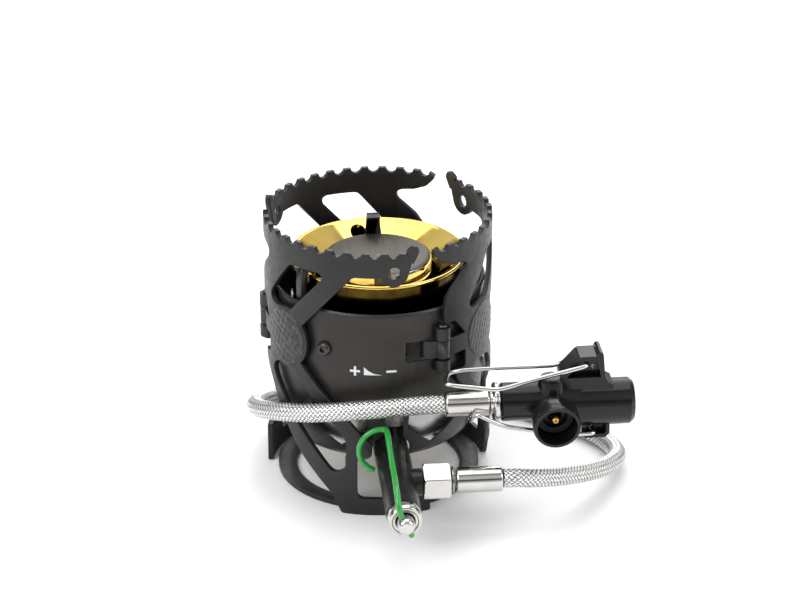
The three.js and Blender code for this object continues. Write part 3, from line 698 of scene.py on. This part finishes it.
def make_spreader(m):
    """The brushed disc, its polished and grooved skirt, and the clips that hold it down."""
    radius, skirt = SPREADER_RADIUS, 79
    spreader = lathe("flame_spreader_fine", [
        (0, 89.8), (12, 89.5), (18.6, 88.9), (20, 88.2), (radius, 87.4), (radius, 84.4),
        (20, 83.9), (20, 83.3), (radius, 82.8), (radius, skirt), (19.4, skirt), (19.4, 87.2),
        (17, 88.1), (0, 88.8),
    ], segments=128, radius=0.5)
    place(spreader, "flame_spreader", m["brushed"], m["chrome"])
    paint_where(spreader, 1, lambda reach, z: reach > 19.9)
    for n in (1, 2):
        place(refine(f"spreader_clip_{n}", 0.18), f"spreader_clip_{n}", m["dark"])


def make_cup(m):
    """The thin polished cup behind the drum's windows, cut away where the valve enters."""
    bm = lathe_mesh([
        (28, 22.2), (32, 25), (35, 30.6), (37, 38), (37.9, 47), (37.3, 47), (36.4, 38.2),
        (34.4, 31), (31.5, 25.5), (28, 22.9),
    ], segments=200, radius=3.0, steps=6)
    crumple(bm)
    half_way = 7.4
    way = block("way", (VALVE_X - half_way, -45, 15), (VALVE_X + half_way, 0, 33.5))
    place(carve(new_object("inner_cup_fine", bm), way), "inner_cup", m["foil"])


def make_vaporiser(m):
    """The tube that climbs outside the bowl, bends over its lip and drops through a hole."""
    heights = [(36.3, 48), (36.3, 60), (36.3, 72), (36.3, 84), (36.2, 89.2), (35, 92.3),
               (32.5, 93.5), (29.9, 92.7), (27.9, 90.2), (27, 86), (27, 74)]
    path = [(*polar(r, BOWL_HOLES[1]), z) for r, z in heights]
    place(wire("vaporiser_tube_fine", path, 2.1, 24), "vaporiser_tube", m["dark"])


def crumple(bm):
    """Presses the thin cup's wall into soft creases; it only ever moves inward."""
    for v in bm.verts:
        angle, z = math.atan2(v.co.y, v.co.x), v.co.z
        dent = (math.sin(9 * angle + 0.35 * z) + math.sin(17 * angle - 0.5 * z + 1.3)
                + 0.7 * math.sin(31 * angle + 0.8 * z + 0.4)) / 2.7
        radius = math.hypot(v.co.x, v.co.y)
        share = 1 - 0.3 * (0.5 + 0.5 * dent) / radius
        v.co.x, v.co.y = v.co.x * share, v.co.y * share


def make_screw(m, degrees, n):
    """A button screw with a six-lobed socket."""
    node = f"housing_screw_{n}"
    x, y = polar(DRUM_RADIUS + 0.3, degrees)
    origin, direction = (x, y, SCREW_Z), (*polar(1, degrees), 0)
    screw = lathe(node + "_fine", [
        (0, -4), (1.5, -4), (1.5, 0), (2.8, 0), (2.8, 0.5), (2.2, 1.4), (1.2, 1.8), (0, 1.8),
    ], origin, direction, segments=64, radius=0.3)
    turns = [2 * math.pi * i / 48 for i in range(48)]
    lobed = [(1.12 + 0.2 * math.cos(6 * a), a) for a in turns]
    bm = bmesh.new()
    prism(bm, [(r * math.cos(a), r * math.sin(a)) for r, a in lobed], 0.7, 3)
    socket = new_object("socket", bm, axis_matrix(origin, direction))
    place(carve(screw, socket), node, m["dark"])


def make_marks(m):
    """The printed plus, wedge and minus that show which way the valve opens."""
    height, long, thin = 58.6, 1.9, 0.42
    plus_at, wedge_at, minus_at = (math.radians(d) * DRUM_RADIUS for d in (-107.4, -102.6, -88))

    def at(x, offsets):
        return [(x + dx, height + dz) for dx, dz in offsets]

    plus = at(plus_at, [
        (-thin, -long), (thin, -long), (thin, -thin), (long, -thin), (long, thin), (thin, thin),
        (thin, long), (-thin, long), (-thin, thin), (-long, thin), (-long, -thin), (-thin, -thin),
    ])
    wedge = at(wedge_at, [(0, 1.8), (0, -1.4), (6.6, -1.4), (3.6, -0.8), (1.7, 0.2)])
    minus = at(minus_at, [(-long, -thin), (long, -thin), (long, thin), (-long, thin)])
    bm = bmesh.new()
    for outline in (plus, wedge, minus):
        merge(bm, sheet_metal("mark", outline, [], 0.09, 0.01, DRUM_RADIUS))
    marks = new_object("adjuster_marks", bm)
    marks.data.materials.append(m["ink"])
    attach(marks, "burner")


TOOTH_PERIOD, TOOTH_COUNT, TOOTH_GAP, TOOTH_DEPTH, LEG_TOP = 9.4, 11, 2.1, 2.0, 107.0
LUG = (93.5, 99.3)
PAD = (31.5, 66.5)
PAD_RADIUS = 11.3
ARM_LOW, ARM_HIGH, EYE_RADIUS = 62.3, 69.2, 2.7
EARS = (56.7, 74.3)


def on_sheet(points):
    """Points given as (degrees from the hinge, height), laid out on the flat sheet."""
    return [(math.radians(deg) * LEG_RADIUS, z) for deg, z in points]


def toothed_edge():
    """The pot support's top: round gaps with short flat teeth between them."""
    edge = []
    for n in range(TOOTH_COUNT):
        centre = math.radians(LUG[0] - n * TOOTH_PERIOD) * LEG_RADIUS
        for i in range(9):
            t = math.pi * i / 8
            edge.append((centre + TOOTH_GAP * math.cos(t), LEG_TOP - TOOTH_DEPTH * math.sin(t)))
    return edge


def leg_outline():
    centre = math.radians(PAD[0]) * LEG_RADIUS
    pad_side = arc((centre, PAD[1]), 12, -43, 37, 16)
    lug = arc((math.radians(LUG[0]) * LEG_RADIUS, LUG[1]), 5.4, 190, 345, 18)
    hook = [(102.9, 102), (106.3, 107), (105.3, 109.1), (103.2, 109.3), (99.6, 107.4)]
    left = [
        (-6.6, 106.8), (-5.4, 104), (-1.5, 100.9), (5.5, 98.9), (12.6, 98.3), (14.8, 97.4),
        (15.2, 95.8), (14.3, 94.3), (4.6, 88.5), (1.2, 85.2), (0.5, 82.7), (0.5, 75.8),
        (6.8, 75.8), (14.6, ARM_HIGH), (EYE_RADIUS, ARM_HIGH), (EYE_RADIUS, ARM_LOW),
        (14.6, ARM_LOW), (14.6, 55.2), (8, 55.2), (8, 52.4), (9.6, 50.4), (17.6, 44.6),
        (30.5, 31.9), (42.5, 21.1), (61.5, 7.4), (66.5, 0), (112.5, 0), (112.5, 15.4),
        (91.5, 15.4), (91.5, 7), (77.2, 7), (75.2, 7.7), (74.5, 9), (74.5, 22), (75.6, 23.4),
        (80, 23.8), (82.2, 25), (82.5, 29.4), (77.5, 32.8), (69.5, 39.7), (59.5, 46.5),
    ]
    right = [(72.6, 97), (74.2, 97.5), (86, 97.5)]
    corners = softened(on_sheet(hook), 1.0)
    soft_left = softened(on_sheet(left), 0.9)
    return [*corners, *toothed_edge(), *soft_left, *pad_side, *on_sheet(right), *lug]


def leg_holes():
    upper = [(36.6, 97), (54.6, 97.4), (56.8, 96.6), (56.6, 94.6), (37.4, 79.2), (35, 78.2),
             (31.5, 78.5), (24, 77.6), (19, 78), (17.6, 79.4), (18.2, 81.6)]
    lower = [(26, 55.2), (20.6, 52.4), (19.6, 50.4), (20.6, 48.6), (30.5, 41), (39.5, 33.8),
             (59.8, 18), (62.2, 16.9), (65, 17.2), (68, 18.8), (69, 20.8), (69, 30.6),
             (62.5, 36.7), (49.5, 45.5), (40, 53.2), (34.5, 54.3), (30, 54.1)]
    eyelet = arc((math.radians(LUG[0]) * LEG_RADIUS, LUG[1]), 2.4, 0, 350, 36)
    return [softened(on_sheet(upper), 1.4), softened(on_sheet(lower), 1.4), eyelet]


def hammered_pad():
    """The round thumb pad: a slightly proud disc with a beaten face."""
    bm = bmesh.new()
    rings, spokes, radius = 22, 96, PAD_RADIUS
    centre = math.radians(PAD[0]) * LEG_RADIUS
    grid = []
    for k in range(rings + 1):
        r = radius * k / rings
        row = []
        for i in range(spokes):
            a = 2 * math.pi * i / spokes
            x, y = r * math.cos(a), r * math.sin(a)
            beaten = (math.sin(1.7 * x + 0.6 * y) * math.sin(1.5 * y - 0.8 * x + 1.0)
                      + 0.6 * math.sin(2.9 * x - 1.1 * y + 0.5) * math.sin(2.6 * y + 0.9 * x))
            edge = max(0.0, (r - radius + 0.6) / 0.6)
            height = 0.4 - 0.15 * (1 + beaten / 1.6) - 0.5 * edge**2
            angle, out = (centre + x) / LEG_RADIUS, LEG_RADIUS + height
            row.append((out * math.cos(angle), out * math.sin(angle), PAD[1] + y))
        grid.append(row)
    top = bm.verts.new(grid[0][0])
    rows = [[bm.verts.new(p) for p in row] for row in grid[1:]]
    skirt = []
    for x, y, z in grid[-1]:
        r = math.hypot(x, y)
        inside = (LEG_RADIUS - 0.8) / r
        skirt.append(bm.verts.new((x * inside, y * inside, z)))
    rows.append(skirt)
    for i in range(spokes):
        j = (i + 1) % spokes
        bm.faces.new((top, rows[0][i], rows[0][j]))
        for inner, outer in zip(rows, rows[1:]):
            bm.faces.new((inner[i], outer[i], outer[j], inner[j]))
    bm.faces.new(skirt[::-1])
    return bm


def hinge_eye():
    """The rolled eye that turns on the pin, and the tongue behind it that stops the leg."""
    bm = lathe_mesh([(1.5, ARM_LOW), (EYE_RADIUS, ARM_LOW), (EYE_RADIUS, ARM_HIGH),
                     (1.5, ARM_HIGH)], segments=40, radius=0.2)
    tongue = softened([(-0.9, -2), (0.3, -2.2), (-0.6, -4.8), (-2.6, -6.6), (-5, -6.9),
                       (-5, -5.9), (-3.2, -5.7), (-1.7, -4.3)], 0.6, 4)
    prism(bm, tongue, ARM_LOW, ARM_HIGH)
    bm.transform(Matrix.Translation((HINGE_RADIUS, 0, 0)))
    return bm


def make_legs(m):
    middle = LEG_RADIUS - LEG_SHEET / 2

    def at_middle(points):
        return [(x * middle / LEG_RADIUS, y) for x, y in points]

    for turn, n in TURNS:
        outline, holes = at_middle(leg_outline()), [at_middle(hole) for hole in leg_holes()]
        bm = sheet_metal("leg", outline, holes, LEG_SHEET, 0.25, middle)
        merge(bm, hammered_pad())
        merge(bm, hinge_eye())
        rotation = Matrix.Rotation(math.radians(HINGE_ANGLE + turn), 4, "Z")
        leg = new_object(f"leg_{n}_fine", bm, rotation, 40)
        place(leg, f"leg_{n}", m["leg"], m["pad"])
        paint_where(leg, 1, lambda reach, z: reach > LEG_RADIUS + 0.04)
        make_hinge_pin(m, turn, n)


def make_hinge_pin(m, turn, n):
    """A rivet whose two heads sit just outside the drum's ears."""
    low, high = EARS[0] - 0.3, EARS[1] + 0.3
    shank, head = 1.2, 1.7
    pin = lathe(f"hinge_pin_{n}_fine", [
        (0, low - 0.8), (1.4, low - 0.8), (head, low - 0.3), (head, low), (shank, low),
        (shank, high), (head, high), (head, high + 0.3), (1.4, high + 0.8), (0, high + 0.8),
    ], (*polar(HINGE_RADIUS, HINGE_ANGLE + turn), 0), segments=32, radius=0.2)
    place(pin, f"hinge_pin_{n}", m["dark"])


HANDLE_Y, HANDLE_LEAN = -94.8, math.radians(25)


def across_spindle(distance):
    """A point on the leaning line where the handle passes through the spindle."""
    return (VALVE_X - distance * math.sin(HANDLE_LEAN), HANDLE_Y,
            VALVE_Z + distance * math.cos(HANDLE_LEAN))


def make_valve(m):
    place(refine("valve_tube", 0.2), "valve_tube", m["valve"])
    gland = lathe("gland_nut_fine", [
        (3.6, 0), (6.4, 0), (6.4, 3.4), (5.8, 4.6), (4.9, 4.8), (4.6, 4.2), (3.6, 4.2),
    ], (VALVE_X, -88.3, VALVE_Z), (0, -1, 0), segments=96, radius=0.3)
    place(gland, "gland_nut", m["chrome"])
    seal = lathe("spindle_seal_fine", [(3.5, 0), (4.4, 0), (4.4, 3), (3.5, 3)],
                 (VALVE_X, -87.8, VALVE_Z), (0, 1, 0), segments=48, radius=0.2)
    place(seal, "spindle_seal", m["rubber"])
    spindle = lathe("valve_spindle_fine", [
        (0, 98), (2.1, 97.9), (2.8, 97.3), (3.2, 96.4), (3.2, 30), (1.2, 24), (0, 24),
    ], (VALVE_X, 0, VALVE_Z), (0, -1, 0), segments=64, radius=0.3, steps=4)
    carve(spindle, drill(1.4, across_spindle(-8), across_spindle(8)))
    place(spindle, "valve_spindle", m["chrome"])
    make_handle(m)


def make_handle(m):
    """The wire handle, folded back along the valve and hooked round in a loose curl."""
    curl = [(x, -49.5, z) for x, z in arc((-2.8, 31.1), 8.7, 100, 250, 9)]
    path = [*(across_spindle(d) for d in (-5.6, -2, 2, 5)), (-1.1, -93.6, 32.2),
            (-1.3, -90, 34.9), (-1.3, -84, 35.9), (-1.3, -70, 37.3), (-1.3, -58, 38.7),
            (-1.3, -52.4, 39.5), (-1.7, -50.2, 39.8), *curl]
    place(wire("adjuster_wire_fine", path, 1.1), "adjuster_wire", m["green"])


def sleeve(name, node, start, end, y, z, material):
    """The polished sleeve swaged on to an end of the hose."""
    r = FERRULE_RADIUS
    profile = [(0, start), (r - 0.4, start), (r, start + 0.5), (r, end - 0.5), (r - 0.4, end),
               (0, end)]
    piece = lathe(name, profile, (0, y, z), (1, 0, 0), segments=96, radius=0.4, steps=4)
    return place(piece, node, material)


def make_fuel_line(m):
    place(refine("inlet_nut", 0.25), "inlet_nut", m["chrome"])
    nipple = lathe("inlet_nipple_fine", [
        (0, 11.5), (3.2, 11.5), (3.2, 21), (5.2, 21.2), (5.2, 22), (4.4, 22.3), (0, 22.3),
    ], (0, INLET_Y, VALVE_Z), (1, 0, 0), segments=64, radius=0.15)
    place(nipple, "inlet_nipple", m["steel"])
    sleeve("inlet_ferrule_fine", "inlet_ferrule", 22.9, 40, INLET_Y, VALVE_Z, m["chrome"])
    sleeve("connector_ferrule_fine", "connector_ferrule", 20.3, 36.5, LINE_Y, LINE_Z,
           m["chrome"])
    collar = lathe("connector_collar_fine", [
        (0, 36.8), (4.3, 36.8), (4.3, 37.8), (7, 38), (7.4, 38.5), (7.4, 39.7), (6.9, 40.3),
        (0, 40.3),
    ], (0, LINE_Y, LINE_Z), (1, 0, 0), segments=96, radius=0.2)
    place(collar, "connector_collar", m["chrome"])


def stand_wire(node, pivot, front, rear, material):
    """A wire loop whose ends hook into a bracket from both sides: front and rear from LINE_Y."""
    x, z = pivot
    before, behind = LINE_Y - 5.4, LINE_Y + 5.4
    path = [(x, LINE_Y - 0.6, z), (x, before, z), (x - 0.9, before - 0.8, z),
            *((px, LINE_Y + py, pz) for px, py, pz in (*front, *rear)),
            (x - 0.9, behind + 0.8, z), (x, behind, z), (x, LINE_Y + 0.6, z)]
    place(wire(node + "_fine", path, STAND_WIRE_RADIUS), node, material)


def make_connector(m):
    place(refine("connector_body", 0.3), "connector_body", m["plastic"])
    stand_wire("upper_stand_wire", (71.7, 65.1), [
        (66, -6.6, 64), (50, -7.5, 60.6), (40.6, -8.4, 58.6), (37.8, -8.4, 58.3),
        (30, -8.4, 59.4), (22.6, -8.1, 60.5), (20.4, -7, 60.6), (20.2, -4, 60.2),
    ], [
        (22.4, 5.2, 59), (25.4, 7.4, 58.7), (29, 8.1, 58.7), (42, 8.1, 58.9),
        (56, 7.5, 59.2), (62, 6.9, 59.8), (66.5, 6.5, 62),
    ], m["chrome"])
    stand_wire("lower_stand_wire", (75, 37.6), [
        (70, -6.4, 37.6), (60, -7.1, 39), (50, -7.5, 40.9), (41.5, -7.5, 42.8),
        (35, -7.5, 45.8), (31.6, -7.1, 47.4), (30.2, -5.8, 46.4), (29.7, -3.3, 43.4),
    ], [
        (29.7, 0, 42.1), (30, 3.5, 42.5), (31.2, 6.3, 43), (35, 7.3, 42.6), (44, 7.5, 41),
        (58, 6.9, 38.6), (70, 6.4, 37.6),
    ], m["chrome"])
    origin = (BRANCH_X, LINE_Y, LINE_Z)
    pin = lathe("depressor_pin_fine", [
        (0, 5), (2.2, 5), (2.2, 9), (1.5, 9.6), (1.5, 13.6), (0.9, 14), (0.5, 14),
        (0.5, 12.5), (0, 12.5),
    ], origin, BRANCH_AXIS, segments=48, radius=0.15)
    place(pin, "depressor_pin", m["brass"])
    gasket = lathe("cup_seal_fine", [(4.6, 10.3), (7, 10.3), (7, 11.5), (4.6, 11.5)],
                   origin, BRANCH_AXIS, segments=64, radius=0.3)
    place(gasket, "cup_seal", m["rubber"])


# ---------- floor and light ----------

def make_floor():
    bm = bmesh.new()
    bmesh.ops.create_grid(bm, x_segments=2, y_segments=2, size=4000)
    floor = new_object("floor", bm, Matrix.Translation((0, 0, -0.05)))
    paper = Finish("floor_paper", (0.93, 0.93, 0.93), 0.85)
    paper.colors(paper.noise(30, 3), (0.3, (0.92, 0.92, 0.92)), (0.7, (0.94, 0.94, 0.94)))
    floor.data.materials.append(paper.material)


def make_lights():
    for name, place_at, size, power in (
        ("key_left", (-1.1, -0.7, 1.1), 1.1, 18),
        ("fill_right", (1.2, -0.5, 0.8), 1.0, 8),
        ("top", (0.0, 0.25, 1.5), 1.4, 13),
        ("rim_back", (0.3, 1.3, 0.9), 1.1, 9),
    ):
        data = bpy.data.lights.new(name, "AREA")
        data.shape, data.size, data.energy = "SQUARE", size, power
        lamp = bpy.data.objects.new(name, data)
        lamp.location = place_at
        lamp.rotation_mode = "QUATERNION"
        aim = Vector((0.02, 0, 0.05)) - lamp.location
        lamp.rotation_quaternion = aim.to_track_quat("-Z", "Y")
        bpy.context.scene.collection.objects.link(lamp)


def make_world():
    """A bright room with a darker band round it, which gives polished metal its contrast."""
    world = bpy.data.worlds.new("studio")
    bpy.context.scene.world = world
    world.use_nodes = True
    tree = world.node_tree
    back = tree.nodes["Background"]
    coordinates = tree.nodes.new("ShaderNodeTexCoord")
    parts = tree.nodes.new("ShaderNodeSeparateXYZ")
    ramp = tree.nodes.new("ShaderNodeValToRGB")
    stops = [(0.0, 0.85), (0.14, 0.8), (0.28, 0.1), (0.42, 0.08), (0.55, 0.95), (0.8, 0.8),
             (0.9, 0.35), (1.0, 0.6)]
    elements = ramp.color_ramp.elements
    while len(elements) < len(stops):
        elements.new(0.5)
    for element, (at, grey) in zip(elements, stops):
        element.position, element.color = at, (grey, grey, grey, 1)
    tree.links.new(coordinates.outputs["Generated"], parts.inputs[0])
    tree.links.new(parts.outputs["Z"], ramp.inputs["Fac"])
    tree.links.new(ramp.outputs["Color"], back.inputs["Color"])
    back.inputs["Strength"].default_value = 0.85


make_camera()
hose, hose_path = braided_hose()
materials = make_materials()
place(hose, "fuel_hose", materials["braid"])
make_burner(materials)
make_legs(materials)
make_valve(materials)
make_fuel_line(materials)
make_connector(materials)
make_floor()
make_lights()
make_world()
bpy.context.scene.view_settings.view_transform = "Standard"
